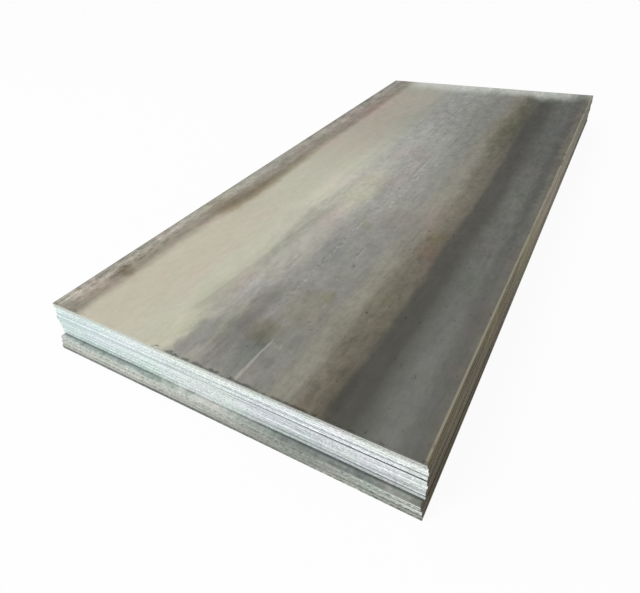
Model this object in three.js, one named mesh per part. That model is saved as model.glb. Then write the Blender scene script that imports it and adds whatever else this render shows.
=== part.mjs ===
// Stack of hot-rolled steel plates cut to length from coil, lying flat one on another.
// Millimetres, +X across the plates, +Y along them away from the near end, +Z up.
// Every plate keeps the two edges that the rolling mill left and has two guillotined ends.
import * as THREE from "three";

// Plate stock
const nominalWidth = 1250;
const plateLength = 2750;
const plateThickness = 14.7;
const seatGap = 0.3;

// Mill edge: the long sides, never cut, are crowned by the rolls
const millCrown = 2.2;
const millCrownPower = 3;

// Sheared end: the face is drawn down, burnished by the blade, then torn off leaning outwards
const rollOverDepth = 1.3;
const rollOverReach = 2.4;
const rollOverSteps = 3;
const burnishHeight = 4.4;
const fractureLean = 0.7;

// A sprung plate stands off the one below at its near right corner
const springAcross = 620;
const springAlong = 900;
const springSteps = 4;

// The plates from the floor up. over: wider than nominal, within the mill's tolerance.
// side and back: how far the plate lies off the middle of the stack. turn: degrees about +Z.
// spring: how far the near right corner stands off the plate below.
const plates = [
  { name: "lower_plate_1", over: 20, side: -9, back: -22, turn: 0.2, spring: 0 },
  { name: "lower_plate_2", over: 16, side: -8, back: -19, turn: 0.13, spring: 0.2 },
  { name: "lower_plate_3", over: 14, side: -7, back: -16, turn: -0.05, spring: 0 },
  { name: "upper_plate_1", over: 20, side: -10, back: 3.4, turn: 0.06, spring: 1.2 },
  { name: "upper_plate_2", over: 20, side: -10.5, back: 3.8, turn: 0.06, spring: 0.2 },
  { name: "upper_plate_3", over: 20, side: -9.5, back: 3.6, turn: 0.05, spring: 0 },
  { name: "upper_plate_4", over: 19, side: -7, back: 2.6, turn: 0.06, spring: 0 },
  { name: "upper_plate_5", over: 20, side: -9, back: 1.3, turn: 0.05, spring: 0 },
  { name: "upper_plate_6", over: 12, side: -5.5, back: 3.1, turn: 0.05, spring: 0.9 },
  { name: "upper_plate_7", over: 12, side: -3.5, back: 3.8, turn: 0.03, spring: 0.3 },
  { name: "upper_plate_8", over: 7, side: -2.5, back: 3.2, turn: 0.03, spring: 0 },
  { name: "upper_plate_9", over: 0, side: 0, back: 0, turn: 0, spring: 0.1 },
];

const plateSteel = new THREE.MeshStandardMaterial({
  name: "hot_rolled_steel",
  color: 0x8f8b82,
  roughness: 0.55,
  metalness: 0.6,
});

// Heights at which the outline of a plate changes, from its underside to its top face.
// Both faces get the same levels, since the two ends are cut the opposite way up.
function outlineLevels() {
  const fromFace = [];
  for (let step = 0; step <= rollOverSteps; step += 1) {
    const share = step / rollOverSteps;
    fromFace.push(rollOverDepth * share * share);
  }
  fromFace.push(rollOverDepth + burnishHeight);
  const fromTop = fromFace.map((depth) => plateThickness - depth).reverse();
  return [...fromFace, ...fromTop];
}

// How far a mill edge lies inside its widest line at a height in the plate.
function millInset(height) {
  const middle = plateThickness / 2;
  const fromMiddle = Math.abs(height - middle) / middle;
  const bulge = (1 - fromMiddle ** millCrownPower) ** (1 / millCrownPower);
  return millCrown * (1 - bulge);
}

// How far a sheared end stands out of the cutting line at a depth below the face that the
// blade entered: drawn in by the roll-over, level on the burnish, leaning out on the fracture.
function shearOutset(depth) {
  if (depth < rollOverDepth) {
    const above = 1 - depth / rollOverDepth;
    return -rollOverReach * (1 - Math.sqrt(1 - above * above));
  }
  const fractureTop = rollOverDepth + burnishHeight;
  if (depth <= fractureTop) {
    return 0;
  }
  return (fractureLean * (depth - fractureTop)) / (plateThickness - fractureTop);
}

// Stations from one side of a plate to the other, closer together where its corner springs up.
function stations(extent, sprung, sprungAtEnd) {
  const list = [sprungAtEnd ? -extent / 2 : extent / 2];
  for (let step = 0; step <= springSteps; step += 1) {
    const reach = sprung * (1 - step / springSteps);
    list.push(sprungAtEnd ? extent / 2 - reach : reach - extent / 2);
  }
  return list.sort((a, b) => a - b);
}

// Rise of the sprung corner, as a plate bends: nothing at the root and most at the corner.
function springRise(x, y, height) {
  const across = Math.max(0, x - (nominalWidth / 2 - springAcross)) / springAcross;
  const along = Math.max(0, springAlong - plateLength / 2 - y) / springAlong;
  return height * across ** 2 * along ** 2;
}

// One plate, lofted through its outline at each level, with its two faces as flat grids.
function plateGeometry(plate, underside, spring) {
  const width = nominalWidth + plate.over;
  const acrossStations = stations(width, springAcross, true);
  const alongStations = stations(plateLength, springAlong, false);
  const lastAcross = acrossStations.length - 1;
  const lastAlong = alongStations.length - 1;
  const levels = outlineLevels();
  const positions = [];
  const numbers = new Map();

  // Number of the vertex at a station across, a station along and a level, made once.
  function vertex(i, j, level) {
    const key = `${i},${j},${level}`;
    if (!numbers.has(key)) {
      const height = levels[level];
      let x = acrossStations[i];
      let y = alongStations[j];
      if (i === 0) x += millInset(height);
      if (i === lastAcross) x -= millInset(height);
      if (j === 0) y -= shearOutset(plateThickness - height);
      if (j === lastAlong) y += shearOutset(height);
      const rise = springRise(x + plate.side, y + plate.back, spring);
      numbers.set(key, positions.length / 3);
      positions.push(x, y, underside + height + rise);
    }
    return numbers.get(key);
  }

  const triangles = [];
  function quad(a, b, c, d) {
    triangles.push(a, b, c, a, c, d);
  }
  const top = levels.length - 1;
  for (let i = 0; i < lastAcross; i += 1) {
    for (let j = 0; j < lastAlong; j += 1) {
      quad(vertex(i, j, top), vertex(i + 1, j, top), vertex(i + 1, j + 1, top), vertex(i, j + 1, top));
      quad(vertex(i, j, 0), vertex(i, j + 1, 0), vertex(i + 1, j + 1, 0), vertex(i + 1, j, 0));
    }
  }
  for (let level = 0; level < top; level += 1) {
    const up = level + 1;
    for (let i = 0; i < lastAcross; i += 1) {
      quad(vertex(i, 0, level), vertex(i + 1, 0, level), vertex(i + 1, 0, up), vertex(i, 0, up));
      quad(
        vertex(i + 1, lastAlong, level),
        vertex(i, lastAlong, level),
        vertex(i, lastAlong, up),
        vertex(i + 1, lastAlong, up),
      );
    }
    for (let j = 0; j < lastAlong; j += 1) {
      quad(vertex(0, j + 1, level), vertex(0, j, level), vertex(0, j, up), vertex(0, j + 1, up));
      quad(
        vertex(lastAcross, j, level),
        vertex(lastAcross, j + 1, level),
        vertex(lastAcross, j + 1, up),
        vertex(lastAcross, j, up),
      );
    }
  }

  const geometry = new THREE.BufferGeometry();
  geometry.setAttribute("position", new THREE.Float32BufferAttribute(positions, 3));
  geometry.setIndex(triangles);
  geometry.computeVertexNormals();
  return geometry;
}

const stack = new THREE.Group();
let underside = 0;
let spring = 0;
for (const plate of plates) {
  spring += plate.spring;
  const mesh = new THREE.Mesh(plateGeometry(plate, underside, spring), plateSteel);
  mesh.name = plate.name;
  mesh.position.set(plate.side, plate.back, 0);
  mesh.rotation.z = THREE.MathUtils.degToRad(plate.turn);
  stack.add(mesh);
  underside += plateThickness + seatGap;
}

// The part's origin is the middle of its footprint, on the floor.
const footprint = new THREE.Box3().setFromObject(stack, true);
const middle = footprint.getCenter(new THREE.Vector3());
stack.position.set(-middle.x, -middle.y, -footprint.min.z);

const part = new THREE.Group();
part.add(stack);

export default part;
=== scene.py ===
import math

import bpy
import numpy as np
from mathutils import Matrix, Vector
from mathutils.geometry import delaunay_2d_cdt


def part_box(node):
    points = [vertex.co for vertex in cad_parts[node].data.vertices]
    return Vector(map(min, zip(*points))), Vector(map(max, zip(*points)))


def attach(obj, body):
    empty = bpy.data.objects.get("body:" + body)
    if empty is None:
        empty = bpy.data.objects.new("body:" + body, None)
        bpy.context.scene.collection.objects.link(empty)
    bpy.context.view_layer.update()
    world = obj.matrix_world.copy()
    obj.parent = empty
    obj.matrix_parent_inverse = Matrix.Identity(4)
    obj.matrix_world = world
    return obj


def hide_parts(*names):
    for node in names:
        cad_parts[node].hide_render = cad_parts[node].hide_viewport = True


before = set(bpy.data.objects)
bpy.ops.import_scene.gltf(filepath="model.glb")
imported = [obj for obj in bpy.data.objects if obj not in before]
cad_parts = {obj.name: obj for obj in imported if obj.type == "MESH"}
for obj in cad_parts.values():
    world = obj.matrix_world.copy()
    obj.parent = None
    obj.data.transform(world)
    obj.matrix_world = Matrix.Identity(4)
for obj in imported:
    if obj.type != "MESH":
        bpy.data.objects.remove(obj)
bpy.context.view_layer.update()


# ------------------------------------------------------------------------------
# Lower plates
# Three hot-rolled plates of an older coil lie on the floor and stick out a little in front
# of the others. Their sheared ends have gone dull, and their scale is dusty and mottled.
# Each plate is one piece: two rolled faces, two crowned mill edges, two guillotined ends.
# ------------------------------------------------------------------------------

# Edges of the stock, as the mill and the guillotine leave them, in metres
PLATE_PITCH = 0.015
MILL_CROWN = 0.0022
MILL_CROWN_POWER = 3
MILL_WANDER = 0.0005
MILL_FOLD = 0.00018
ROLL_OVER_DEPTH = 0.0013
ROLL_OVER_REACH = 0.0024
BURNISH_HEIGHT = 0.0044
FRACTURE_LEAN = 0.0007
TORN_DEPTH = 0.00022

# How unevenly the blade leaves them, as shares; a nick is what rises above NICK_RARITY
BLADE_UNEVENNESS = 0.22
BURNISH_SWELL = 0.1
NICK_RARITY = 0.45
CHIP_SHARE = 0.6

# How long one turn of that unevenness is, in metres
NICK_TURN = 0.013
ROLL_OVER_TURN = 0.06
BURNISH_TURN = 0.021
BURNISH_SWELL_TURN = 0.3
RIDGE_TURN = 0.009
MILL_TURN = 0.35
FOLD_TURN = 0.12
FACE_TURN_ACROSS = 0.21
FACE_TURN_ALONG = 0.33
JOINT_SHADE_TURN = 0.07

# How finely a plate is modelled
ARC_STEPS = 4
WALL_STEPS = 5
END_PITCH = 0.004
EDGE_PITCH = 0.015
HIDDEN_FACE_PITCH = 0.15
CREASE_ANGLE = math.radians(38)
SAME_LEVEL = 1e-5
SAME_POINT = 1e-7

# How far in from its rim a face's dip is complete
DIP_FADE = 0.08

# Where the stack's near right corner springs up, measured back from that corner
SPRING_ACROSS = 0.62
SPRING_ALONG = 0.9

# A plate's material slots, and those of its near end, right edge, far end and left edge
FACE_SLOT, EDGE_SLOT, END_SLOT = range(3)
SIDE_SLOTS = (END_SLOT, EDGE_SLOT, END_SLOT, EDGE_SLOT)

# What each random thing on a plate adds to the plate's seed
FAR_END_SEED = 10
LEFT_EDGE_SEED = 20
RIGHT_EDGE_SEED = 30
FACE_SEED = 40
JOINT_SHADE_SEED = 60

# A plate's bake map, and how wide its faces' strips are on it
MAP_BORDER = 0.01
MAP_GAP = 0.02
SHOWN_FACE_STRIP = 0.62
HIDDEN_FACE_STRIP = 0.16
UNDERSIDE_STRIP = 0.07

FLAT_PLATE = "lower_plate_1"
TOP_PLATE = "upper_plate_9"
plate_thickness = (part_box(FLAT_PLATE)[1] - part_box(FLAT_PLATE)[0]).z


def underside_corners(node):
    """The near left, far left and far right corners of a plate's underside, none of them sprung."""
    points = [vertex.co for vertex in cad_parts[node].data.vertices]
    floor_level = min(point.z for point in points)
    underside = [point for point in points if point.z < floor_level + SAME_LEVEL]
    near_left = min(underside, key=lambda point: point.x + point.y)
    far_left = max(underside, key=lambda point: point.y - point.x)
    far_right = max(underside, key=lambda point: point.x + point.y)
    return near_left, far_left, far_right


top_near_left, top_far_left, top_far_right = underside_corners(TOP_PLATE)
spring_root = Vector((top_far_right.x + MILL_CROWN - SPRING_ACROSS, top_near_left.y + SPRING_ALONG))


def wander(positions, turn, seed):
    """A smooth random line from -1 to 1, the same on each run, with a turn every so many metres."""
    steps = positions / turn
    knots = np.random.default_rng(seed).uniform(-1, 1, int(steps.max()) + 3)
    first = np.floor(steps).astype(int)
    share = steps - first
    share = share * share * (3 - 2 * share)
    return knots[first] * (1 - share) + knots[first + 1] * share


def level_heights():
    """Heights of a plate's outlines: close together in the roll-over at either face, even between."""
    arc = ROLL_OVER_DEPTH * (np.arange(ARC_STEPS) / ARC_STEPS) ** 2
    wall = np.linspace(ROLL_OVER_DEPTH, plate_thickness / 2, WALL_STEPS + 1)
    lower_half = np.concatenate([arc, wall])
    upper_half = plate_thickness - lower_half[-2::-1]
    return np.concatenate([lower_half, upper_half])


def sheared_end(positions, depths, nicks, seed):
    """How far a guillotined end stands out of its cutting line, by depth below the face the blade
    entered: rolled over, then burnished level, then torn off rough and leaning out."""
    bruise = np.clip(wander(positions, NICK_TURN, seed) - NICK_RARITY, 0, 1) * nicks
    uneven = BLADE_UNEVENNESS * wander(positions, ROLL_OVER_TURN, seed + 1)
    roll_over = ROLL_OVER_DEPTH * (1 + uneven + bruise)
    uneven = BLADE_UNEVENNESS * wander(positions, BURNISH_TURN, seed + 2)
    burnish = roll_over + BURNISH_HEIGHT * (1 + uneven)
    burnish = burnish * (1 + BURNISH_SWELL * wander(positions, BURNISH_SWELL_TURN, seed + 3))
    above = np.clip(1 - depths[:, None] / roll_over, 0, 1)
    rolled = -ROLL_OVER_REACH * (1 - np.sqrt(1 - above**2))
    torn = np.clip((depths[:, None] - burnish) / (plate_thickness - burnish), 0, 1)
    chips = np.random.default_rng(seed + 4).uniform(0, 1, torn.shape) ** 2
    ridges = 0.5 + 0.5 * wander(positions, RIDGE_TURN, seed + 5)
    tear = TORN_DEPTH * (CHIP_SHARE * chips + (1 - CHIP_SHARE) * ridges) * (torn > 0)
    return rolled + FRACTURE_LEAN * torn - tear


def mill_edge(positions, heights, seed):
    """How far an edge that the rolls left lies inside its widest line, crowned and a little wavy."""
    middle = plate_thickness / 2
    from_middle = np.abs(heights - middle) / middle
    crown = MILL_CROWN * (1 - (1 - from_middle**MILL_CROWN_POWER) ** (1 / MILL_CROWN_POWER))
    waves = MILL_WANDER * (0.5 + 0.5 * wander(positions, MILL_TURN, seed))
    laps = np.random.default_rng(seed + 1).uniform(0, 1, len(heights))
    folds = MILL_FOLD * laps[:, None] * (0.5 + 0.5 * wander(positions, FOLD_TURN, seed + 2))
    return crown[:, None] + waves + folds


def even_steps(length, pitch):
    """Stations from 0 to a length, a pitch apart or as near to it as comes out even."""
    return np.linspace(0, length, round(length / pitch) + 1)


def plate_outlines(width, length, heights, nicks, seed):
    """A plate's outlines from its underside up, and how many steps each side has. Each runs round
    from the near left corner: near end, right edge, far end, left edge."""
    across = even_steps(width, END_PITCH)
    along = even_steps(length, EDGE_PITCH)
    near = sheared_end(across, plate_thickness - heights, nicks, seed)
    far = sheared_end(across, heights, nicks, seed + FAR_END_SEED)
    left = mill_edge(along, heights, seed + LEFT_EDGE_SEED)
    right = mill_edge(along, heights, seed + RIGHT_EDGE_SEED)
    outlines = []
    for level, height in enumerate(heights):
        left_x, right_x = left[level], width - right[level]
        near_y, far_y = -near[level], length + far[level]
        near_x = left_x[0] + across / width * (right_x[0] - left_x[0])
        far_x = left_x[-1] + across / width * (right_x[-1] - left_x[-1])
        right_y = near_y[-1] + along / length * (far_y[-1] - near_y[-1])
        left_y = near_y[0] + along / length * (far_y[0] - near_y[0])
        ring_x = np.concatenate([near_x[:-1], right_x[:-1], far_x[:0:-1], left_x[:0:-1]])
        ring_y = np.concatenate([near_y[:-1], right_y[:-1], far_y[:0:-1], left_y[:0:-1]])
        outlines.append(np.stack([ring_x, ring_y, np.full(len(ring_x), height)], 1))
    end_count, edge_count = len(across) - 1, len(along) - 1
    return np.stack(outlines), (end_count, edge_count, end_count, edge_count)


def up_the_map(share):
    """How high on the bake map a share of a strip's length lies."""
    return MAP_BORDER + (1 - 2 * MAP_BORDER) * share


def side_walls(level_count, side_counts, map_left):
    """A plate's sides as quads, each with its slot and its corners on the bake map, where each
    side has a strip of its own, so that the thin ends stay sharp."""
    ring_count = sum(side_counts)
    top = level_count - 1
    strip = (1 - map_left - 3 * MAP_GAP) / 4
    walls = []
    start = 0
    for side, count in enumerate(side_counts):
        for level in range(top):
            from_blade = top - 1 - level if side == 0 else level
            rolled_over = SIDE_SLOTS[side] == END_SLOT and from_blade < ARC_STEPS
            slot = FACE_SLOT if rolled_over else SIDE_SLOTS[side]
            low, high = level * ring_count, (level + 1) * ring_count
            u_low = map_left + strip * level / top
            u_high = map_left + strip * (level + 1) / top
            for step in range(count):
                first, after = start + step, (start + step + 1) % ring_count
                v_first, v_after = up_the_map(step / count), up_the_map((step + 1) / count)
                quad = (low + first, low + after, high + after, high + first)
                on_map = [(u_low, v_first), (u_low, v_after), (u_high, v_after), (u_high, v_first)]
                walls.append((quad, slot, on_map))
        start += count
        map_left += strip + MAP_GAP
    return walls


def rolled_face(outline, rim_number, inside_number, size, pitch, facing_up, map_left, map_width):
    """One of a plate's flat faces as triangles, each with its slot and its corners on the bake map,
    and the grid of points inside it. rim_number and inside_number are those of the first points of
    its outline and of that grid."""
    width, length = size
    grid = np.meshgrid(even_steps(width, pitch)[1:-1], even_steps(length, pitch)[1:-1])
    inside = np.stack(grid, -1).reshape(-1, 2)
    flat_points = [Vector(point) for point in np.concatenate([outline[:, :2], inside])]
    rim = [list(range(len(outline)))]
    _, _, triangles, origins, _, _ = delaunay_2d_cdt(flat_points, [], rim, 1, SAME_POINT)
    numbers = np.arange(len(flat_points)) + rim_number
    numbers[len(outline) :] = np.arange(len(inside)) + inside_number
    faces = []
    for triangle in triangles:
        picked = [origins[point][0] for point in (triangle if facing_up else triangle[::-1])]
        places = [flat_points[point] for point in picked]
        on_map = [(map_left + map_width * at.x / width, up_the_map(at.y / length)) for at in places]
        faces.append((numbers[picked].tolist(), FACE_SLOT, on_map))
    return faces, np.column_stack([inside, np.full(len(inside), outline[0, 2])])


def face_drop(inside, size, dip, seed):
    """How far the points inside a face lie below its rim: up to dip, in long waves."""
    from_rim = np.minimum(inside[:, :2], np.array(size) - inside[:, :2]).min(axis=1)
    waves = 0.5 + 0.25 * wander(inside[:, 0], FACE_TURN_ACROSS, seed)
    waves = waves + 0.25 * wander(inside[:, 1], FACE_TURN_ALONG, seed + 1)
    return dip * waves * np.clip(from_rim / DIP_FADE, 0, 1)


def joint_shade_share(share_across, seed):
    """How much of a joint's painted shade and dirt there is across a plate: none at the left, all at
    the right.
    """
    return np.clip((share_across - 0.5) / 0.4 + 0.2 * wander(share_across, JOINT_SHADE_TURN, seed), 0, 1)


def in_scene(name, data):
    """An object made of a mesh, a lamp or a camera, in the scene."""
    made = bpy.data.objects.new(name, data)
    bpy.context.scene.collection.objects.link(made)
    return made


def mark_cut(mesh, heights, side_counts, grime):
    """Stores at each point how deep below the face that the blade entered it lies, how high in the
    plate it lies, from 0 to 1, and the grime: how dark its joint is, with painted shade and dirt."""
    end_count, edge_count = side_counts[:2]
    rows = []
    for height in heights:
        near, far = plate_thickness - height, height
        right = np.linspace(near, far, edge_count, endpoint=False)
        left = np.linspace(far, near, edge_count, endpoint=False)
        rows.append(np.concatenate([np.full(end_count, near), right, np.full(end_count, far), left]))
    inside_count = len(mesh.vertices) - len(rows) * len(rows[0])
    depths = np.pad(np.concatenate(rows), (0, inside_count))
    levels = np.pad(np.repeat(heights / plate_thickness, len(rows[0])), (0, inside_count))
    for name, values in (("cut_depth", depths), ("plate_level", levels), ("grime", grime)):
        mesh.attributes.new(name, "FLOAT", "POINT").data.foreach_set("value", values)


def mark_face_rims(mesh, ring_count, level_count):
    """Keeps the two flat faces flat by making their rims sharp."""
    top_row = (level_count - 1) * ring_count
    for edge in mesh.edges:
        first, second = edge.vertices
        on_bottom = max(first, second) < ring_count
        on_top = top_row <= min(first, second) and max(first, second) < top_row + ring_count
        if on_bottom or on_top:
            edge.use_edge_sharp = True


def plate_piece(name, node, finishes, seed, grime, face_pitch=HIDDEN_FACE_PITCH, nicks=1.0, dip=0.0):
    """One plate in place of its CAD node. finishes are those of the rolled faces, the mill edges
    and the sheared ends. grime is how dark the joint over it is at the right, with painted shade
    and dirt, and dip how far its top face is out of flat."""
    near_left, far_left, far_right = underside_corners(node)
    low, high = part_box(node)
    sprung = high.z - low.z - plate_thickness
    across = (far_right - far_left).normalized()
    along = Vector((-across.y, across.x, 0))
    width = (far_right - far_left).length + 2 * MILL_CROWN
    length = (far_left - near_left).length + ROLL_OVER_REACH - FRACTURE_LEAN
    corner = near_left - MILL_CROWN * across + FRACTURE_LEAN * along
    size = (width, length)

    # the shape lying flat, with its near left corner at the origin
    heights = level_heights()
    outlines, side_counts = plate_outlines(width, length, heights, nicks, seed)
    rim_points = outlines.reshape(-1, 3)
    ring_count = len(outlines[0])
    face_strip = SHOWN_FACE_STRIP if dip else HIDDEN_FACE_STRIP
    underside_left = MAP_BORDER + face_strip + MAP_GAP
    walls = side_walls(len(heights), side_counts, underside_left + UNDERSIDE_STRIP + MAP_GAP)
    numbers = (len(rim_points) - ring_count, len(rim_points))
    top_face, top_inside = rolled_face(
        outlines[-1], *numbers, size, face_pitch, True, MAP_BORDER, face_strip
    )
    numbers = (0, len(rim_points) + len(top_inside))
    underside, low_inside = rolled_face(
        outlines[0], *numbers, size, HIDDEN_FACE_PITCH, False, underside_left, UNDERSIDE_STRIP
    )
    top_inside[:, 2] -= face_drop(top_inside, size, dip, seed + FACE_SEED)
    local = np.concatenate([rim_points, top_inside, low_inside])

    # turned and moved to where the plate lies, with its near right corner sprung up
    points = local[:, :1] * np.array(across) + local[:, 1:2] * np.array(along) + np.array(corner)
    lift_across = np.clip(points[:, 0] - spring_root.x, 0, None) / SPRING_ACROSS
    lift_along = np.clip(spring_root.y - points[:, 1], 0, None) / SPRING_ALONG
    points[:, 2] = low.z + local[:, 2] + sprung * lift_across**2 * lift_along**2

    polygons, slots, on_map = zip(*walls, *top_face, *underside)
    mesh = bpy.data.meshes.new(name)
    mesh.from_pydata(points.tolist(), [], polygons)
    mesh.polygons.foreach_set("material_index", slots)
    mark_cut(mesh, heights, side_counts, grime * joint_shade_share(local[:, 0] / width, seed + JOINT_SHADE_SEED))
    bake_map = [place for places in on_map for place in places]
    mesh.uv_layers.new(name="OFBake").uv.foreach_set("vector", np.array(bake_map, np.float32).ravel())
    for finish in finishes:
        mesh.materials.append(finish)
    mesh.shade_smooth()
    mesh.set_sharp_from_angle(angle=CREASE_ANGLE)
    mark_face_rims(mesh, ring_count, len(heights))
    piece = in_scene(name, mesh)
    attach(piece, "root")
    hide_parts(node)
    return piece


class Signal:
    """One node's socket. Arithmetic on it adds Math nodes; node() adds any other node."""

    def __init__(self, tree, socket):
        self.tree = tree
        self.socket = socket

    def node(self, kind, settings, sockets, output=0):
        """Adds a node, its settings first and then its sockets' values or links."""
        made = self.tree.nodes.new("ShaderNode" + kind)
        for name, value in settings.items():
            if name == "stops":
                self.set_stops(made.color_ramp.elements, value)
            else:
                setattr(made, name, value)
        for name, value in sockets.items():
            if isinstance(value, Signal):
                self.tree.links.new(value.socket, made.inputs[name])
            else:
                made.inputs[name].default_value = value
        return Signal(self.tree, made.outputs[output])

    @staticmethod
    def set_stops(elements, stops):
        """Gives a colour ramp its (level, colour) stops."""
        while len(elements) < len(stops):
            elements.new(1.0)
        for element, (level, colour) in zip(elements, stops):
            element.position = level
            element.color = colour

    def beside(self, output):
        """Another output of the same node."""
        return Signal(self.tree, self.socket.node.outputs[output])

    def feed(self, shader, socket):
        """Links this to a shader's socket."""
        self.tree.links.new(self.socket, shader.inputs[socket])

    def math(self, operation, first, second=0.0):
        """A Math node's result."""
        return self.node("Math", {"operation": operation}, {0: first, 1: second})

    def __add__(self, other):
        return self.math("ADD", self, other)

    __radd__ = __add__

    def __sub__(self, other):
        return self.math("SUBTRACT", self, other)

    def __rsub__(self, other):
        return self.math("SUBTRACT", other, self)

    def __mul__(self, other):
        return self.math("MULTIPLY", self, other)

    __rmul__ = __mul__

    def __truediv__(self, other):
        return self.math("DIVIDE", self, other)

    def __abs__(self):
        return self.math("ABSOLUTE", self)


def swatch(red, green, blue):
    """A colour as read off a swatch, 0 to 255, in the linear values a shader takes."""
    return tuple(((level / 255 + 0.055) / 1.055) ** 2.4 for level in (red, green, blue)) + (1.0,)


def rise(value, start, end):
    """0 at start, 1 at end and beyond, smooth between them."""
    sockets = {"Value": value, "From Min": start, "From Max": end}
    return value.node("MapRange", {"interpolation_type": "SMOOTHSTEP"}, sockets)


def ramp(value, stops):
    """The colour that (level, colour) stops give for a value."""
    return value.node("ValToRGB", {"stops": stops}, {"Fac": value})


def stretch(value, start, full, last, end):
    """0 before start, 1 from full to last, 0 again past end."""
    return rise(value, start, full) * rise(value, end, last)


def cover(mask, under, over):
    """One colour over another, where the mask is 1."""
    return mask.node("Mix", {"data_type": "RGBA"}, {0: mask, 6: under, 7: over}, 2)


def soak(mask, under, tint):
    """Tints a colour where the mask is 1, to so many percent of its red, green and blue."""
    sockets = {0: mask, 6: under, 7: tuple(percent / 100 for percent in tint) + (1.0,)}
    return mask.node("Mix", {"data_type": "RGBA", "blend_type": "MULTIPLY"}, sockets, 2)


def shaded(colour, factor):
    """A colour times a number."""
    return factor.node("VectorMath", {"operation": "SCALE"}, {0: colour, "Scale": factor})


def grain(place, per_metre, detail, roughness=0.6, seed=0.0):
    """Noise from 0 to 1, with so many spots a metre along X, Y and Z."""
    scaled = place.node("VectorMath", {"operation": "MULTIPLY"}, {0: place, 1: per_metre})
    shift = (seed, seed * 1.7, seed * 0.6)
    moved = place.node("VectorMath", {"operation": "ADD"}, {0: scaled, 1: shift})
    sockets = {"Vector": moved, "Scale": 1.0, "Detail": detail, "Roughness": roughness}
    return place.node("TexNoise", {"noise_dimensions": "3D"}, sockets)


def sway(noise):
    """A noise as what it adds and takes away, from -0.5 to 0.5."""
    return noise - 0.5


def axes(place):
    """How far a place lies along X, Y and Z."""
    x = place.node("SeparateXYZ", {}, {"Vector": place}, "X")
    return x, x.beside("Y"), x.beside("Z")


def stored(place, name):
    """What the mesh stores at its points under a name."""
    return place.node("Attribute", {"attribute_name": name}, {}, "Fac")


def new_finish(name, metallic, specular):
    """A material, its Principled shader, and where each of its points lies in the part, in metres."""
    material = bpy.data.materials.new(name)
    material.use_nodes = True
    nodes = material.node_tree.nodes
    shader = nodes["Principled BSDF"]
    shader.inputs["Metallic"].default_value = metallic
    shader.inputs["Specular IOR Level"].default_value = specular
    place = Signal(material.node_tree, nodes.new("ShaderNodeTexCoord").outputs["Object"])
    return material, shader, place


def bumped(shader, height, distance, strength):
    """Gives a shader the relief of a height from 0 to 1, that many metres deep."""
    sockets = {"Height": height, "Distance": distance, "Strength": strength}
    height.node("Bump", {}, sockets, "Normal").feed(shader, "Normal")


def dusty_scale_finish():
    """Mill scale that has stood about: grey-green and mottled, darker towards the right, darkened
    by painted shade and dirt where the upper plates begin, and rubbed pale at the left end of its
    front rim."""
    material, shader, place = new_finish("dusty_mill_scale", metallic=0.2, specular=0.25)
    x, y, _ = axes(place)
    clouds = grain(place, (9, 14, 9), 3, 0.65)
    blocks = grain(place, (26, 9, 9), 3, 0.6, 6.0)
    spots = grain(place, (62, 62, 60), 3, 0.65, 4.0)
    greenish, pale = swatch(159, 167, 162), swatch(188, 192, 186)
    tone = cover(rise(x + 0.6 * sway(clouds), -0.3, -0.05), greenish, pale)
    tone = cover(rise(x + 0.3 * sway(clouds), 0.03, 0.3), tone, swatch(134, 139, 134))
    tone = cover(rise(x + 0.2 * sway(clouds), 0.46, 0.55), tone, swatch(148, 151, 145))
    tone = cover(rise(x + 0.02 * sway(spots), 0.580, 0.605), tone, swatch(138, 139, 132))
    tone = shaded(tone, 1 + sway(clouds) + sway(blocks) + 1.3 * sway(spots))
    tone = soak(rise(clouds, 0.53, 0.66), tone, (105, 97, 101))
    tone = soak(rise(clouds, 0.47, 0.34), tone, (95, 101, 96))
    # a dark line at the foot of the upper plates: painted shade under their ends, with some dirt
    upper_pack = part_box("upper_plate_1")[0].y
    foot_shade_start = upper_pack - 0.006 - 0.004 * rise(x, -0.2, -0.45)
    foot_shade_and_dirt = rise(y + 0.004 * sway(spots), foot_shade_start, upper_pack - 0.001)
    foot_shade_and_dirt = foot_shade_and_dirt * (1 - 0.55 * stretch(x, -0.27, -0.15, -0.03, 0.2))
    tone = soak(foot_shade_and_dirt, tone, (48, 51, 51))
    ledge_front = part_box("lower_plate_3")[0].y
    front_rim = rise(y, ledge_front + 0.010, ledge_front + 0.005)
    tone = soak(front_rim * rise(x, -0.2, -0.3), tone, (127, 125, 127))
    tone = soak(front_rim * rise(x, 0.3, 0.42), tone, (85, 85, 85))
    tone.feed(shader, "Base Color")
    (0.5 + 0.2 * clouds).feed(shader, "Roughness")
    bumped(shader, spots + clouds, 0.0004, 0.35)
    return material


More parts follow.
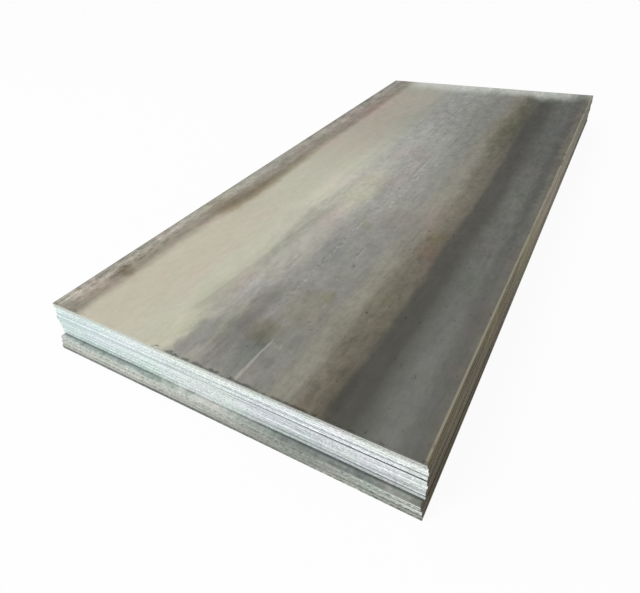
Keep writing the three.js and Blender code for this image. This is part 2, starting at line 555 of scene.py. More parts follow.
def mill_edge_finish():
    """Crowned edge as rolled: olive-brown oxide in patches over several plates, drawn out in
    streaks lengthwise, darkest at the foot and at the near end, greyer and paler half way."""
    material, shader, place = new_finish("mill_edge_oxide", metallic=0.25, specular=0.22)
    _, y, height = axes(place)
    patches = grain(place, (5, 4, 13), 3, 0.6, 7.0)
    streaks = grain(place, (40, 5, 320), 3, 0.6, 1.0)
    mottles = grain(place, (60, 26, 60), 3, 0.65, 11.0)
    fine = grain(place, (300, 70, 600), 2, 0.5, 2.0)
    tone = cover(rise(patches, 0.4, 0.6), swatch(86, 79, 60), swatch(101, 92, 70))
    tone = soak(rise(patches, 0.44, 0.32), tone, (107, 96, 94))
    tone = soak(rise(patches, 0.55, 0.68), tone, (96, 103, 94))
    greyed = rise(y, -0.5, 0.1) * rise(height, 0.07, 0.12)
    tone = cover(greyed * 0.65, tone, swatch(96, 91, 86))
    tone = soak(rise(y, 0.3, 0.7), tone, (97, 106, 99))
    tone = soak(stretch(y, -0.65, -0.5, -0.3, -0.15), tone, (98, 105, 106))

    brightness = 0.94 + 1.05 * rise(y + 0.3 * sway(patches), -1.2, 0.05) - 0.55 * rise(y, 0.4, 1.1)
    low = rise(height + 0.05 * sway(patches), 0.1, 0.055)
    brightness = brightness - (0.16 + 0.7 * rise(y, -1.1, 0.0)) * low
    palest = rise(y, 0.1, 0.3) * rise(height, 0.14, 0.12)
    half_way = stretch(y, -0.6, -0.4, 0.5, 0.65) * rise(height, 0.085, 0.1)
    brightness = brightness + (0.12 + 0.2 * palest) * half_way
    shadowy = rise(y, -0.85, -1.0) * stretch(height, 0.06, 0.068, 0.082, 0.095)
    brightness = brightness - 0.2 * shadowy
    # painted light in the grooves between the crowned edges, where shade falls, and painted shade on
    # the upper half of each crown, which faces the light
    from_middle = sway(stored(place, "plate_level"))
    joint_fill_light = rise(abs(from_middle), 0.34, 0.47)
    brightness = brightness + 0.5 * joint_fill_light - 0.15 * rise(from_middle, 0.1, 0.35)
    tone = shaded(tone, brightness + 0.58 * sway(mottles) + 0.35 * sway(streaks))
    tone = cover(rise(streaks, 0.58, 0.72) * 0.5, tone, swatch(64, 61, 48))
    tone.feed(shader, "Base Color")
    (0.5 + 0.25 * fine).feed(shader, "Roughness")
    bumped(shader, streaks + 0.5 * fine, 0.0003, 0.4)
    return material


def gain_ramp(height, pack_foot, gains):
    """One number for each plate of a pack, from its foot up, running on from one to the next."""
    stack_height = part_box(TOP_PLATE)[1].z
    stops = []
    for count, gain in enumerate(gains):
        level = (pack_foot + (count + 0.5) * PLATE_PITCH) / stack_height
        # a ramp holds no more than 1, so it holds half of each number
        stops.append((level, (gain / 2,) * 3 + (1.0,)))
    return 2 * ramp(height / stack_height, stops)


def sheared_finish(
    name, tones, left_tint, right_tint, corner_tint, specks_per_metre, speck_strength, stain_tint,
    stain_share, torn_loss, pack_foot, foot_reach, foot_shade_and_dirt, foot_changes, edge_gains, rest_gains,
    dull_runs,
):
    """Guillotined steel: burnished under the face that the blade entered, torn and duller below,
    drawn out in lines along the cut, and speckled. Painted shade and dirt darken the open joints
    and the foot. tones: its colours, each after its height in millimetres. torn_loss: how much
    duller the torn part is at the right, and how much lighter the burnished part, as a painted
    glint. foot_reach, foot_shade_and_dirt: how high the foot's painted shade and dirt reach, and how
    much
    there is at the left. foot_changes: from where to where it changes, and to how much.
    edge_gains, rest_gains: each plate's brightness at the right, from the foot up. dull_runs:
    between which heights they lie, and where each starts, is full, is last full and ends."""
    material, shader, place = new_finish(name, metallic=0.5, specular=0.3)
    x, _, height = axes(place)
    depth = stored(place, "cut_depth")
    grime = stored(place, "grime")
    layers = grain(place, (2.2, 3, 150), 3, 0.6, 3.0)
    drawn = grain(place, (2.5, 3, 300), 3, 0.65, 5.0)
    specks = grain(place, specks_per_metre, 2, 0.6, 9.0)
    stains = grain(place, (18, 18, 80), 4, 0.65, 13.0)
    tint = grain(place, (9, 9, 14), 2, 0.5, 21.0)

    # colour by height, then by how far across
    stack_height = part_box(TOP_PLATE)[1].z
    stops = [(level / 1000 / stack_height, colour) for level, colour in tones]
    tone = ramp((height + 0.02 * sway(layers)) / stack_height, stops)
    tone = soak(rise(x, 0.1, -0.5), tone, left_tint)
    tone = soak(rise(x + 0.3 * sway(tint), -0.05, 0.32), tone, right_tint)
    tone = soak(rise(x, 0.3, 0.62), tone, corner_tint)
    tone = soak(rise(tint, 0.5, 0.62), tone, (101, 98.5, 101.5))
    tone = soak(rise(tint, 0.48, 0.36), tone, (98, 101, 98.5))
    tone = soak(rise(stains, 0.53, 0.68) * stain_share, tone, stain_tint)

    # the blade's marks: the torn part, specks, and lines drawn along the cut
    torn = rise(depth + 0.004 * sway(specks), BURNISH_HEIGHT, 1.6 * BURNISH_HEIGHT)
    speckled = (0.7 + 0.6 * torn) * sway(specks)
    # at the right a painted glint on the burnished part over a duller torn part; at the left painted
    # light on the torn part, against the shade of its outward lean
    glint_and_fill_light = torn_loss * rise(x, 0.1, 0.5) * (torn - 0.6) - 0.13 * rise(x, 0.2, -0.2) * (torn - 0.3)
    coarse = 1 + 0.7 * rise(x, -0.1, 0.4)
    speckled = 1.3 * coarse * sway(drawn) + speck_strength * speckled
    tone = shaded(tone, 1 - glint_and_fill_light + 0.5 * sway(layers) + speckled)

    # plates that are brighter or duller than their neighbours
    edges = gain_ramp(height, pack_foot, edge_gains)
    rests = gain_ramp(height, pack_foot, rest_gains)
    gains = edges + rise(depth, 0.003, 0.0075) * (rests - edges)
    to_the_right = rise(x, 0.2, 0.36) * (1 - 0.6 * rise(x, 0.565, 0.6))
    tone = shaded(tone, 1 + to_the_right * (gains - 1))
    for (low, high), run in dull_runs:
        dulled = stretch(height, low - 0.001, low + 0.001, high - 0.001, high + 0.001)
        tone = soak(dulled * stretch(x, *run), tone, (87, 88, 88))

    # painted shade and dirt in the joints and at the foot
    joint_darkening = rise(depth, 0.0012 + 0.0018 * grime, 0.0006 + 0.001 * grime) * grime
    tone = soak(joint_darkening * (0.6 + 0.4 * rise(specks, 0.35, 0.55)), tone, (30, 31, 32))
    for start, full, amount in foot_changes:
        foot_shade_and_dirt = foot_shade_and_dirt + (amount - foot_shade_and_dirt) * rise(x, start, full)
    foot_shade_and_dirt = foot_shade_and_dirt * rise(height, pack_foot + foot_reach, pack_foot + 0.5 * foot_reach)
    tone = soak(foot_shade_and_dirt, tone, (44, 45, 45))
    tone.feed(shader, "Base Color")
    (0.3 + 0.16 * torn + 0.2 * drawn).feed(shader, "Roughness")
    bumped(shader, specks + drawn, 0.00025, 0.5)
    return material


def rolled_rim_finish(name, tight, open_joint):
    """Scale at the rims of the covered plates. At the rolled-over ends it is polished pale towards
    the left, where the plates lie tight, and dark in the open joints at the right."""
    material, shader, place = new_finish(name, metallic=0.3, specular=0.5)
    x, y, _ = axes(place)
    patches = grain(place, (9, 9, 60), 3, 0.6, 2.0)
    openness = rise(x + 0.5 * sway(patches), -0.25, 0.55)
    ends_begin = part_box(TOP_PLATE)[1].y - 0.05
    at_the_ends = rise(abs(y), ends_begin, ends_begin + 0.005)
    tone = cover(at_the_ends, swatch(94, 88, 72), cover(openness, tight, open_joint))
    tone.feed(shader, "Base Color")
    (0.5 + 0.2 * patches).feed(shader, "Roughness")
    return material


dusty_scale = dusty_scale_finish()
mill_oxide = mill_edge_finish()
dull_sheared = sheared_finish(
    "dull_sheared_steel",
    tones=(
        (0, swatch(158, 159, 151)),
        (8, swatch(160, 162, 154)),
        (16, swatch(172, 174, 167)),
        (24, swatch(180, 182, 175)),
        (45, swatch(184, 189, 182)),
    ),
    left_tint=(109, 111, 111),
    right_tint=(77, 79, 78),
    corner_tint=(150, 152, 152),
    specks_per_metre=(100, 100, 240),
    speck_strength=2.4,
    stain_tint=(72, 74, 70),
    stain_share=0.8,
    torn_loss=0.5,
    pack_foot=0.0,
    foot_reach=0.020,
    foot_shade_and_dirt=0.85,
    foot_changes=((-0.35, -0.2, 1.0), (-0.02, 0.24, 0.25), (0.3, 0.37, 0.0), (0.46, 0.53, 0.65)),
    edge_gains=(1.15, 0.7, 0.6),
    rest_gains=(1.25, 0.9, 1.1),
    dull_runs=(
        ((-0.01, 0.05), (0.1, 0.2, 0.34, 0.4)),
        ((-0.01, 0.015), (-0.46, -0.38, -0.02, 0.08)),
    ),
)
dull_rim = rolled_rim_finish("dull_rim_scale", swatch(182, 186, 179), swatch(120, 122, 116))

# Each lower plate, the finish of its top face, the painted shade and dirt in the joint over it,
# and its seed
LOWER_PLATES = (
    ("lower_plate_1", dull_rim, 0.2, 100),
    ("lower_plate_2", dull_rim, 0.4, 150),
    ("lower_plate_3", dusty_scale, 0.9, 200),
)
for node, face_finish, grime, seed in LOWER_PLATES:
    lower_finishes = (face_finish, mill_oxide, dull_sheared)
    lower_piece = plate_piece(f"stock_{node}", node, lower_finishes, seed, grime)


# ------------------------------------------------------------------------------
# Upper plates under the top one
# Eight plates of a fresher coil. Their ends were sheared not long ago and are still bright
# silver; the mill edges keep the brown oxide of the rolls.
# ------------------------------------------------------------------------------

rolled_rim = rolled_rim_finish("rolled_rim_scale", swatch(182, 191, 189), swatch(58, 60, 58))
bright_sheared = sheared_finish(
    "bright_sheared_steel",
    tones=(
        (45, swatch(222, 230, 227)),
        (67, swatch(218, 226, 223)),
        (85, swatch(218, 225, 222)),
        (102, swatch(217, 224, 222)),
        (114, swatch(207, 214, 213)),
        (126, swatch(226, 234, 232)),
        (138, swatch(215, 222, 221)),
        (154, swatch(229, 235, 231)),
        (163, swatch(221, 226, 219)),
        (169, swatch(204, 208, 200)),
        (181, swatch(184, 186, 178)),
    ),
    left_tint=(87, 94, 95),
    right_tint=(99, 99, 103),
    corner_tint=(104, 102, 100),
    specks_per_metre=(160, 160, 380),
    speck_strength=1.4,
    stain_tint=(82, 83, 84),
    stain_share=0.3,
    torn_loss=-0.04,
    pack_foot=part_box("upper_plate_1")[0].z,
    foot_reach=0.0042,
    foot_shade_and_dirt=0.3,
    foot_changes=((-0.3, -0.12, 0.0), (0.05, 0.38, 0.9)),
    edge_gains=(0.9, 1.0, 0.9, 0.92, 0.87, 0.9, 0.94, 1.0, 1.05),
    rest_gains=(0.82, 1.03, 0.84, 1.1, 1.22, 1.32, 1.1, 0.9, 1.15),
    dull_runs=(
        ((0.1648, 0.19), (0.0, 0.06, 0.32, 0.40)),
        ((0.1498, 0.1648), (0.1, 0.2, 0.36, 0.42)),
    ),
)

# Painted shade and dirt in the joint over each upper plate but the top one, from the lowest up
JOINT_SHADE_AND_GRIME = (1.3, 0.4, 0.1, 0.9, 1.0, 0.6, 0.1, 0.5)
FIRST_UPPER_SEED = 400
UPPER_SEED_STEP = 50
upper_finishes = (rolled_rim, mill_oxide, bright_sheared)
for number, grime in enumerate(JOINT_SHADE_AND_GRIME):
    node = f"upper_plate_{number + 1}"
    seed = FIRST_UPPER_SEED + UPPER_SEED_STEP * number
    upper_piece = plate_piece(f"stock_{node}", node, upper_finishes, seed, grime)


# ------------------------------------------------------------------------------
# Top plate
# The one plate whose rolled face shows: blue-grey mill scale, in bands along the plate where
# the coil cooled at different rates, with a stained rim where it lay against its neighbours.
# ------------------------------------------------------------------------------

# It is modelled more finely, nicked, a little out of flat, and darkened at the top of its near end
# with painted shade and dirt
FACE_PITCH = 0.03
FACE_DIP = 0.0003
TOP_NICKS = 2.5
TOP_SHADE_AND_GRIME = 2.0
TOP_SEED = 900

# The near left corner, from which its bands and stains are measured, and its width
left_edge = top_far_left.x - MILL_CROWN
near_edge = top_near_left.y + FRACTURE_LEAN
plate_width = (top_far_right - top_far_left).length + 2 * MILL_CROWN

# The bands of its scale, from the left edge to the right one: how many millimetres across each
# begins and is complete, its colour in front and at the back, and how patchy it is
RIM_FRONT = swatch(172, 168, 157)
RIM_BACK = swatch(158, 152, 142)
RIM_PATCHINESS = 2.0
BANDS = (
    # brown inner half of the left rim
    (35, 72, swatch(150, 144, 131), swatch(143, 134, 123), 1.6),
    (75, 100, swatch(145, 139, 125), swatch(134, 125, 112), 1.2),
    # beige band, greener at its right half; its light colours, lightest in front, hold part of a
    # painted reflection of the sky
    (100, 160, swatch(193, 187, 170), swatch(166, 160, 147), 0.35),
    (270, 380, swatch(193, 191, 174), swatch(162, 159, 148), 0.35),
    (400, 440, swatch(184, 182, 167), swatch(153, 153, 144), 0.5),
    # grey bands
    (455, 500, swatch(167, 165, 154), swatch(147, 148, 143), 0.9),
    (540, 650, swatch(141, 139, 133), swatch(139, 140, 135), 1.0),
    (650, 780, swatch(134, 133, 126), swatch(125, 125, 119), 1.0),
    (820, 860, swatch(142, 139, 127), swatch(125, 122, 110), 1.0),
    # brown band, darkest beside the charcoal one
    (868, 935, swatch(115, 110, 97), swatch(94, 92, 79), 1.5),
    (930, 985, swatch(108, 103, 91), swatch(84, 83, 73), 1.3),
    # charcoal band, then dark grey ones
    (980, 1012, swatch(82, 81, 75), swatch(68, 67, 63), 0.9),
    (1052, 1132, swatch(108, 109, 104), swatch(87, 89, 85), 1.3),
    (1165, 1195, swatch(99, 100, 95), swatch(84, 83, 79), 1.2),
    # rubbed right rim
    (1207, 1232, swatch(104, 103, 96), swatch(100, 97, 87), 1.4),
)

# Stains of the top face: how many millimetres across and along from the near left corner each
# one's middle lies, half its width and half its length, how soft its rim is, and its tint in
# percent of the colour under it
STAINS = (
    # the left rim: rust where water stood, its rubbed near end, and its dull stretches
    (70, 770, 55, 60, 0.9, (86, 82, 77)),
    (70, 235, 40, 22, 0.9, (72, 68, 62)),
    (55, 120, 35, 55, 0.9, (120, 116, 118)),
    (44, 1240, 32, 220, 0.7, (86, 87, 88)),
    (44, 2300, 32, 330, 0.6, (84, 85, 85)),
    (55, 2690, 50, 70, 0.8, (84, 86, 88)),
    # the beige band: brown where water ran in from the rim, then greener and redder stretches
    (125, 880, 45, 170, 0.8, (80, 76, 70)),
    (135, 1120, 26, 300, 0.9, (82, 79, 74)),
    (255, 1150, 90, 330, 0.9, (95.8, 100, 100)),
    (280, 2620, 260, 100, 0.8, (95, 100, 100)),
    (160, 2120, 50, 220, 0.9, (109, 100, 103)),
    # its ragged right half, and the first grey band beside it
    (470, 60, 36, 110, 0.8, (112, 112, 108)),
    (425, 280, 30, 60, 0.9, (95, 97, 95)),
    (470, 800, 30, 130, 0.8, (90, 91, 88)),
    (560, 1130, 50, 150, 0.9, (105, 105, 96)),
    (545, 620, 30, 200, 0.9, (94, 94, 94)),
    (610, 980, 40, 160, 0.9, (104, 105, 103)),
    # the middle of the plate: the grey bands are palest half way along
    (590, 1180, 150, 640, 1, (124, 124, 126)),
    (780, 1250, 100, 600, 1, (114, 115, 115)),
    (680, 750, 90, 180, 0.8, (91, 91, 91)),
    # blotches of thicker scale at the near end, and a pale dab beside the scratch
    (537, 85, 34, 90, 0.5, (76, 76, 80)),
    (545, 340, 36, 45, 0.9, (102, 105, 110)),
    (572, 270, 28, 90, 0.9, (89, 89, 89)),
    (618, 300, 34, 80, 0.8, (80, 78, 79)),
    (620, 140, 36, 90, 0.8, (86, 86, 86)),
    (692, 195, 42, 36, 0.9, (80, 79, 68)),
    (706, 110, 32, 65, 0.8, (82, 87, 88)),
    (608, 150, 26, 50, 0.9, (80, 80, 80)),
    (692, 150, 30, 45, 0.9, (82, 83, 82)),
    (760, 330, 60, 70, 0.9, (102, 99, 92)),
    (767, 160, 10, 12, 0.8, (122, 120, 118)),
    # small greenish and reddish spots
    (780, 405, 20, 16, 1, (90, 92, 76)),
    (690, 850, 22, 20, 1, (88, 92, 82)),
    (965, 870, 24, 35, 1, (90, 92, 76)),
    (962, 765, 26, 40, 1, (106, 92, 88)),
    (770, 930, 50, 60, 1, (93, 89, 88)),
    (680, 640, 50, 60, 1, (90, 93, 94)),
    # the brown band and the charcoal one
    (905, 100, 30, 80, 0.9, (110, 111, 113)),
    (872, 850, 30, 130, 0.9, (88, 88, 90)),
    (886, 1350, 30, 450, 0.9, (88, 88, 90)),
    (935, 1500, 60, 550, 0.8, (114, 114, 114)),
    (935, 2100, 50, 330, 1, (84, 84, 74)),
    (990, 90, 22, 90, 1, (86, 85, 82)),
    (1010, 2180, 60, 330, 1, (90, 91, 88)),
    (1040, 2600, 60, 120, 1, (90, 101, 96)),
    # the dark grey bands at the right, and the rim beyond them
    (1100, 850, 45, 300, 1, (92, 92, 92)),
    (1080, 2500, 20, 60, 0.8, (120, 120, 120)),
    (1168, 180, 35, 260, 0.8, (115, 115, 115)),
    (1200, 1450, 14, 450, 1, (86, 85, 86)),
)

# Where the bands swing aside: an oval as for a stain, and how far to the right it carries them
SWINGS = (
    (100, 250, 80, 400, 1.0, -11),
    (100, 1080, 80, 220, 1.0, 16),
    (100, 2080, 80, 450, 1.0, 16),
    (460, 820, 80, 180, 0.9, -35),
    (980, 1280, 90, 520, 1.0, 20),
    (1010, 820, 60, 140, 1.0, -8),
    (1010, 450, 60, 180, 1.0, 10),
    (1000, 1780, 60, 120, 1.0, -8),
)

# Fine marks that the rolls drew along the face: how many millimetres across each lies, from
# where to where it runs, its half width, and its tint in percent
ROLL_MARKS = (
    (704, 1250, 1660, 6, (120, 121, 119)),
    (690, 1240, 1560, 6, (82, 82, 83)),
    (748, 1270, 1700, 5, (115, 116, 116)),
    (738, 1600, 1900, 6, (84, 84, 84)),
    (600, 1780, 2420, 6.5, (85, 85, 85)),
    (614, 1820, 2380, 6, (115, 115, 113)),
    (482, 1780, 2200, 6.5, (87, 89, 83)),
    (430, 2230, 2500, 6.5, (89, 91, 84)),
    (502, 1620, 1990, 6, (109, 102, 103)),
    (570, 350, 680, 5.5, (109, 111, 105)),
    (872, 450, 850, 5.5, (90, 91, 84)),
    (1054, 1450, 1950, 6, (84, 83, 85)),
    (1150, 1430, 1800, 6, (82, 81, 85)),
)

# Rows of small dents that a worn roll left: the same without a tint
DENT_ROWS = (
    (672, 280, 950, 12),
    (718, 950, 1480, 12),
    (758, 560, 760, 12),
    (560, 1900, 2300, 12),
)

# The beige scale ends along a clean line that slants a little, with a dull strip beside it
BEIGE_END_ACROSS = 0.4175
BEIGE_END_SLANT = 0.083
BEIGE_END_LENGTH = 1.05

# At the far end a painted reflection of the sky: a pale haze right across the plate
SKY_SHEEN = swatch(196, 199, 192)
SKY_SHEEN_START = 2.54
SKY_SHEEN_FULL = 2.73

# Near the far right corner the haze reaches further: an oval as for a stain
SHEEN_CORNER = (1045, 2620, 70, 250, 0.9)

# A shallow scratch at the near end, widest where it begins
SCRATCH_ACROSS = 0.734
SCRATCH_LENGTH = 0.19
SCRATCH_SLANT = 0.05
SCRATCH_WIDTH = 0.0085
SCRATCH_TAPER = 0.030
BARE_SCRATCH = swatch(166, 166, 156)

# The right edge, rubbed pale
RUBBED_EDGE = swatch(152, 147, 128)


def in_metres(lengths):
    """Lengths in millimetres as metres."""
    return [length / 1000 for length in lengths]


def spot_of(across, along, oval):
    """1 inside an oval on the top face and 0 outside it. The oval is its middle across and along,
    half its width, half its length, and how soft its rim is."""
    middle_across, middle_along, half_width, half_length = in_metres(oval[:4])
    softness = oval[4]
    beside = (across - middle_across) / half_width
    beyond = (along - middle_along) / half_length
    return rise(beside * beside + beyond * beyond, 1 + 2 * softness, 1 - softness)


def banded_tone(across, along, slow, quick, ragged):
    """The colour of the bands, and how patchy the scale is in each. The bands wander, most of all
    where the beige one meets the grey one."""
    loose = 0.45 + 1.2 * stretch(across, 0.3, 0.44, 0.6, 0.8)
    warped = across + loose * (0.05 * sway(slow) + 0.05 * sway(quick) + 0.03 * sway(ragged))
    for *oval, swing in SWINGS:
        warped = warped - swing / 1000 * spot_of(across, along, oval)
    farness = rise(along + 0.4 * sway(slow), 0.95, 2.15)
    tone = cover(farness, RIM_FRONT, RIM_BACK)
    patchiness = RIM_PATCHINESS
    for start, full, front, back, patchy in BANDS:
        here = rise(warped, start / 1000, full / 1000)
        tone = cover(here, tone, cover(farness, front, back))
        patchiness = patchiness + here * (patchy - patchiness)
    return tone, patchiness


def rolled_marks(tone, across, along, ragged, wobble, dents):
    """What the rolls left on the bands: fine marks, rows of dents, and the beige band's clean end."""
    for *mark, tint in ROLL_MARKS:
        mark_across, start, end, half_width = in_metres(mark)
        off_mark = abs(across - mark_across + 0.008 * sway(wobble))
        marked = rise(off_mark, half_width, 0.3 * half_width)
        marked = marked * stretch(along, start, start + 0.12, end - 0.12, end)
        tone = soak(marked * rise(ragged, 0.42, 0.55), tone, tint)
    for row in DENT_ROWS:
        row_across, start, end, half_width = in_metres(row)
        off_row = abs(across - row_across + 0.02 * sway(wobble))
        dented = rise(off_row, half_width, 0.4 * half_width)
        dented = dented * stretch(along, start, start + 0.1, end - 0.1, end)
        tone = shaded(tone, 1 + 1.4 * dented * sway(dents))
    past_beige = across - BEIGE_END_ACROSS - BEIGE_END_SLANT * along
    dulled = stretch(past_beige, 0.0, 0.003, 0.02, 0.06)
    dulled = dulled * stretch(along, 0.13, 0.25, BEIGE_END_LENGTH - 0.1, BEIGE_END_LENGTH)
    return soak(dulled, tone, (88, 88, 87))


def left_rim(tone, across, along, quick, spots, rust):
    """The left rim, where rust and rubbed scale lie side by side at the near corner, with a dull
    line just inside the edge and a dark one at it."""
    rimmed = rise(across, 0.105, 0.06) * rise(along + 0.3 * sway(quick), 0.75, 0.3)
    tone = soak(rimmed * rise(rust, 0.53, 0.62), tone, (72, 69, 64))
    tone = soak(rimmed * rise(rust, 0.46, 0.36), tone, (122, 120, 122))
    dull_line = rise(across + 0.006 * sway(spots), 0.030, 0.014) * rise(along, 0.05, 0.3)
    tone = soak(dull_line * 0.9, tone, (86, 87, 86))
    return soak(rise(across, 0.0075, 0.0045), tone, (62, 63, 62))


def scratched_and_struck(tone, across, along, ragged, wobble, patches, nicked):
    """The scratch, the pale line of the right edge, and the dotted one where the blade came down."""
    off_scratch = abs(across - SCRATCH_ACROSS - SCRATCH_SLANT * along + 0.016 * sway(wobble))
    scratch_width = SCRATCH_WIDTH - SCRATCH_TAPER * along
    scratched = rise(off_scratch, scratch_width, 0.15 * scratch_width)
    scratched = scratched * rise(along, SCRATCH_LENGTH, 0.8 * SCRATCH_LENGTH)
    tone = cover(scratched * rise(ragged, 0.25, 0.5) * 0.85, tone, BARE_SCRATCH)
    rubbed = rise(across, plate_width - 0.010, plate_width - 0.006) * rise(patches, 0.3, 0.5)
    tone = cover(rubbed * 0.8, tone, RUBBED_EDGE)
    spread = 0.010 - 0.007 * rise(across, 0.72, 0.85)
    struck = rise(along - spread * rise(nicked, 0.40, 0.70), 0.0075, 0.0)
    often = rise(across, 0.40, 0.52)
    near_right = rise(across, 0.93, 1.05)
    seldom = 1 - often + 0.6 * near_right
    struck = struck * (0.35 * often + rise(nicked - 0.17 * seldom, 0.38, 0.56))
    return soak(struck * (0.85 - 0.3 * near_right), tone, (46, 48, 48))


def banded_scale_finish():
    """The top face's scale: bands across the plate, mottled rim, blotches, roll marks, specks, and a
    painted reflection of the sky at the far end.
    """
    material, shader, place = new_finish("banded_mill_scale", metallic=0.3, specular=0.12)
    x, y, _ = axes(place)
    across = x - left_edge
    along = y - near_edge
    slow = grain(place, (3.2, 0.9, 1), 2, 0.5, 2.0)
    quick = grain(place, (16, 5, 1), 3, 0.6, 6.0)
    ragged = grain(place, (75, 26, 1), 3, 0.65, 8.0)
    wobble = grain(place, (30, 9, 1), 2, 0.6, 35.0)
    dents = grain(place, (110, 55, 1), 2, 0.6, 41.0)
    spots = grain(place, (62, 44, 1), 3, 0.65, 14.0)
    patches = grain(place, (26, 14, 1), 3, 0.6, 12.0)
    streaks = grain(place, (85, 13, 1), 3, 0.6, 17.0)
    fine = grain(place, (200, 160, 1), 2, 0.7, 19.0)
    clouds = grain(place, (9, 4, 1), 3, 0.6, 11.0)
    pits = grain(place, (75, 45, 1), 2, 0.5, 29.0)
    rust = grain(place, (48, 26, 1), 3, 0.6, 37.0)
    nicked = grain(place, (44, 60, 1), 3, 0.65, 23.0)

    tone, patchiness = banded_tone(across, along, slow, quick, ragged)
    reach = along + 0.10 * sway(grain(place, (14, 9, 1), 3, 0.7, 31.0))
    aside = across + 0.06 * sway(grain(place, (24, 14, 1), 3, 0.7, 33.0))
    for *oval, tint in STAINS:
        tone = soak(spot_of(aside, reach, oval), tone, tint)
    tone = rolled_marks(tone, across, along, ragged, wobble, dents)
    # a painted reflection of the sky: a pale haze at the far end
    sheen_reach = along + 0.15 * sway(quick) + 0.12 * sway(slow)
    sheen_reach = sheen_reach - 0.05 * rise(across, 0.28, 0.1) - 0.03 * rise(across, 0.6, 0.8)
    sheen_reach = sheen_reach + 0.05 * spot_of(aside, reach, SHEEN_CORNER)
    sheen = rise(sheen_reach, SKY_SHEEN_START, SKY_SHEEN_FULL) * rise(across, 0.06, 0.2)
    sheen_share = 0.92 - 0.1 * rise(across, 0.6, 0.85) - 0.5 * rise(across, 1.10, 1.19)
    tone = cover(sheen * sheen_share, tone, SKY_SHEEN)

    # mottling, streaks left by the rolls, and a fine grain, all of it stronger further along
    texture = 0.42 * sway(spots) + 0.45 * sway(patches) + 0.36 * sway(streaks) + 0.26 * sway(fine)
    quiet = rise(across, 0.98, 1.06) * rise(along, 1.0, 0.5)
    strength = patchiness * (1 + 0.5 * rise(along, 1.3, 2.1) - 0.45 * quiet)
    tone = shaded(tone, 1 + strength * texture)
    tone = soak(rise(clouds, 0.53, 0.68), tone, (103, 97, 99))
    tone = soak(rise(clouds, 0.46, 0.32), tone, (98, 101, 96))
    tone = soak(rise(pits, 0.68, 0.76) * rise(across, 0.55, 0.7), tone, (62, 62, 60))

    tone = left_rim(tone, across, along, quick, spots, rust)
    tone = scratched_and_struck(tone, across, along, ragged, wobble, patches, nicked)
    tone.feed(shader, "Base Color")
    (0.5 + 0.16 * quick).feed(shader, "Roughness")
    bumped(shader, spots + streaks + patches, 0.0003, 0.25)
    return material


banded_scale = banded_scale_finish()
top_finishes = (banded_scale, mill_oxide, bright_sheared)
top_piece = plate_piece(
    f"stock_{TOP_PLATE}",
    TOP_PLATE,
    top_finishes,
    TOP_SEED,
    TOP_SHADE_AND_GRIME,
    face_pitch=FACE_PITCH,
    nicks=TOP_NICKS,
    dip=FACE_DIP,
)


# ------------------------------------------------------------------------------
# Floor and light
# A plain pale floor under a white room, with one wide soft lamp to the front left.
# ------------------------------------------------------------------------------

FLOOR_SIZE = 60.0
FLOOR_COLOUR = (0.86, 0.86, 0.86, 1.0)
FLOOR_ROUGHNESS = 0.95
FLOOR_BRIGHTNESS = 0.93
ROOM_BRIGHTNESS = 0.68
WHITE = (1.0, 1.0, 1.0, 1.0)
LAMP_SIZE = 6.0
LAMP_POWER = 480.0
LAMP_PLACE = Vector((-4.5, -7.0, 7.0))
LAMP_AIM = Vector((0, -0.4, 0.1))


def seen_directly(rays):
    """1 where a surface is seen by the camera, in a reflection or through glass."""
    shown = rays.math("MAXIMUM", rays, rays.beside("Is Glossy Ray"))
    return rays.math("MAXIMUM", shown, rays.beside("Is Transmission Ray"))


def make_floor():
    """The floor: it takes the object's shadow, and glows a little where it is seen."""
    mesh = bpy.data.meshes.new("studio_floor")
    half = FLOOR_SIZE / 2
    corners = [(-half, -half, 0), (half, -half, 0), (half, half, 0), (-half, half, 0)]
    mesh.from_pydata(corners, [], [(0, 1, 2, 3)])
    floor = in_scene("studio_floor", mesh)
    material, shader, place = new_finish("pale_floor", metallic=0.0, specular=0.5)
    shader.inputs["Base Color"].default_value = FLOOR_COLOUR
    shader.inputs["Roughness"].default_value = FLOOR_ROUGHNESS
    glow_share = seen_directly(place.node("LightPath", {}, {}, "Is Camera Ray")) * FLOOR_BRIGHTNESS
    glow = place.node("Emission", {}, {"Color": WHITE, "Strength": 1.0})
    surface = Signal(material.node_tree, shader.outputs["BSDF"])
    mixed = place.node("MixShader", {}, {0: glow_share, 1: surface, 2: glow})
    mixed.feed(material.node_tree.nodes["Material Output"], "Surface")
    mesh.materials.append(material)


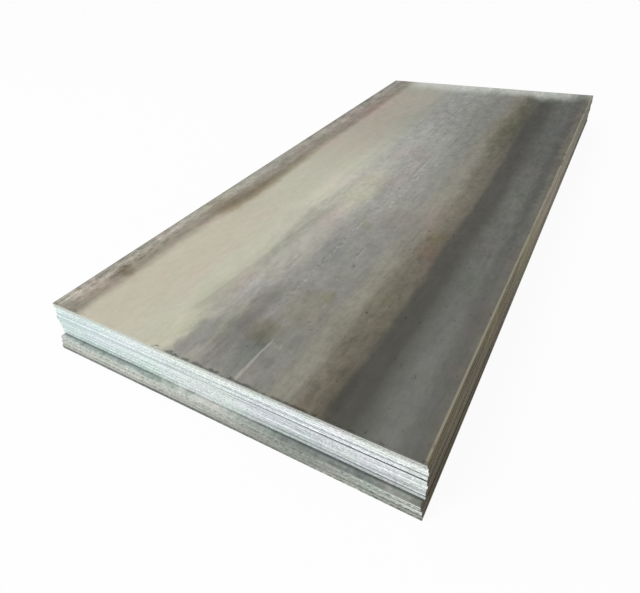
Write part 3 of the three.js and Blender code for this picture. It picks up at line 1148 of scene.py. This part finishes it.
def light_room():
    """The white room, which lights less than it shows, and the lamp."""
    world = bpy.data.worlds.new("white_room")
    bpy.context.scene.world = world
    world.use_nodes = True
    backdrop = world.node_tree.nodes["Background"]
    backdrop.inputs["Color"].default_value = WHITE
    start = Signal(world.node_tree, backdrop.outputs[0])
    shown = seen_directly(start.node("LightPath", {}, {}, "Is Camera Ray"))
    (ROOM_BRIGHTNESS + (1 - ROOM_BRIGHTNESS) * shown).feed(backdrop, "Strength")
    lamp = bpy.data.lights.new("soft_lamp", "AREA")
    lamp.size = LAMP_SIZE
    lamp.energy = LAMP_POWER
    lamp_holder = in_scene("soft_lamp", lamp)
    lamp_holder.location = LAMP_PLACE
    lamp_holder.rotation_euler = (LAMP_AIM - LAMP_PLACE).to_track_quat("-Z", "Y").to_euler()


make_floor()
light_room()


# ------------------------------------------------------------------------------
# Camera
# It stands a little over a metre above the floor, off the near right corner, and looks down
# along the stack.
# ------------------------------------------------------------------------------

CAMERA_FROM_TOP_CORNER = Vector((1.4146, -0.6052, 0.9279))
CAMERA_TURN_LEFT = math.radians(32.938)
CAMERA_TILT_DOWN = math.radians(35.455)
CAMERA_ROLL = math.radians(-4.621)
CAMERA_LENS_MM = 27.83
CAMERA_SENSOR_MM = 36.0
CAMERA_SHIFT_UP = -0.03125

camera = bpy.data.cameras.new("studio_camera")
camera.sensor_fit = "HORIZONTAL"
camera.sensor_width = CAMERA_SENSOR_MM
camera.lens = CAMERA_LENS_MM
camera.shift_y = CAMERA_SHIFT_UP
camera_holder = in_scene("studio_camera", camera)
top_corner = Vector((left_edge, near_edge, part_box(TOP_PLATE)[0].z + plate_thickness))
stand = Matrix.Translation(top_corner + CAMERA_FROM_TOP_CORNER)
turn = Matrix.Rotation(CAMERA_TURN_LEFT, 4, "Z")
tilt = Matrix.Rotation(math.pi / 2 - CAMERA_TILT_DOWN, 4, "X")
roll = Matrix.Rotation(CAMERA_ROLL, 4, "Z")
camera_holder.matrix_world = stand @ turn @ tilt @ roll
bpy.context.scene.camera = camera_holder
bpy.context.scene.view_settings.view_transform = "Standard"
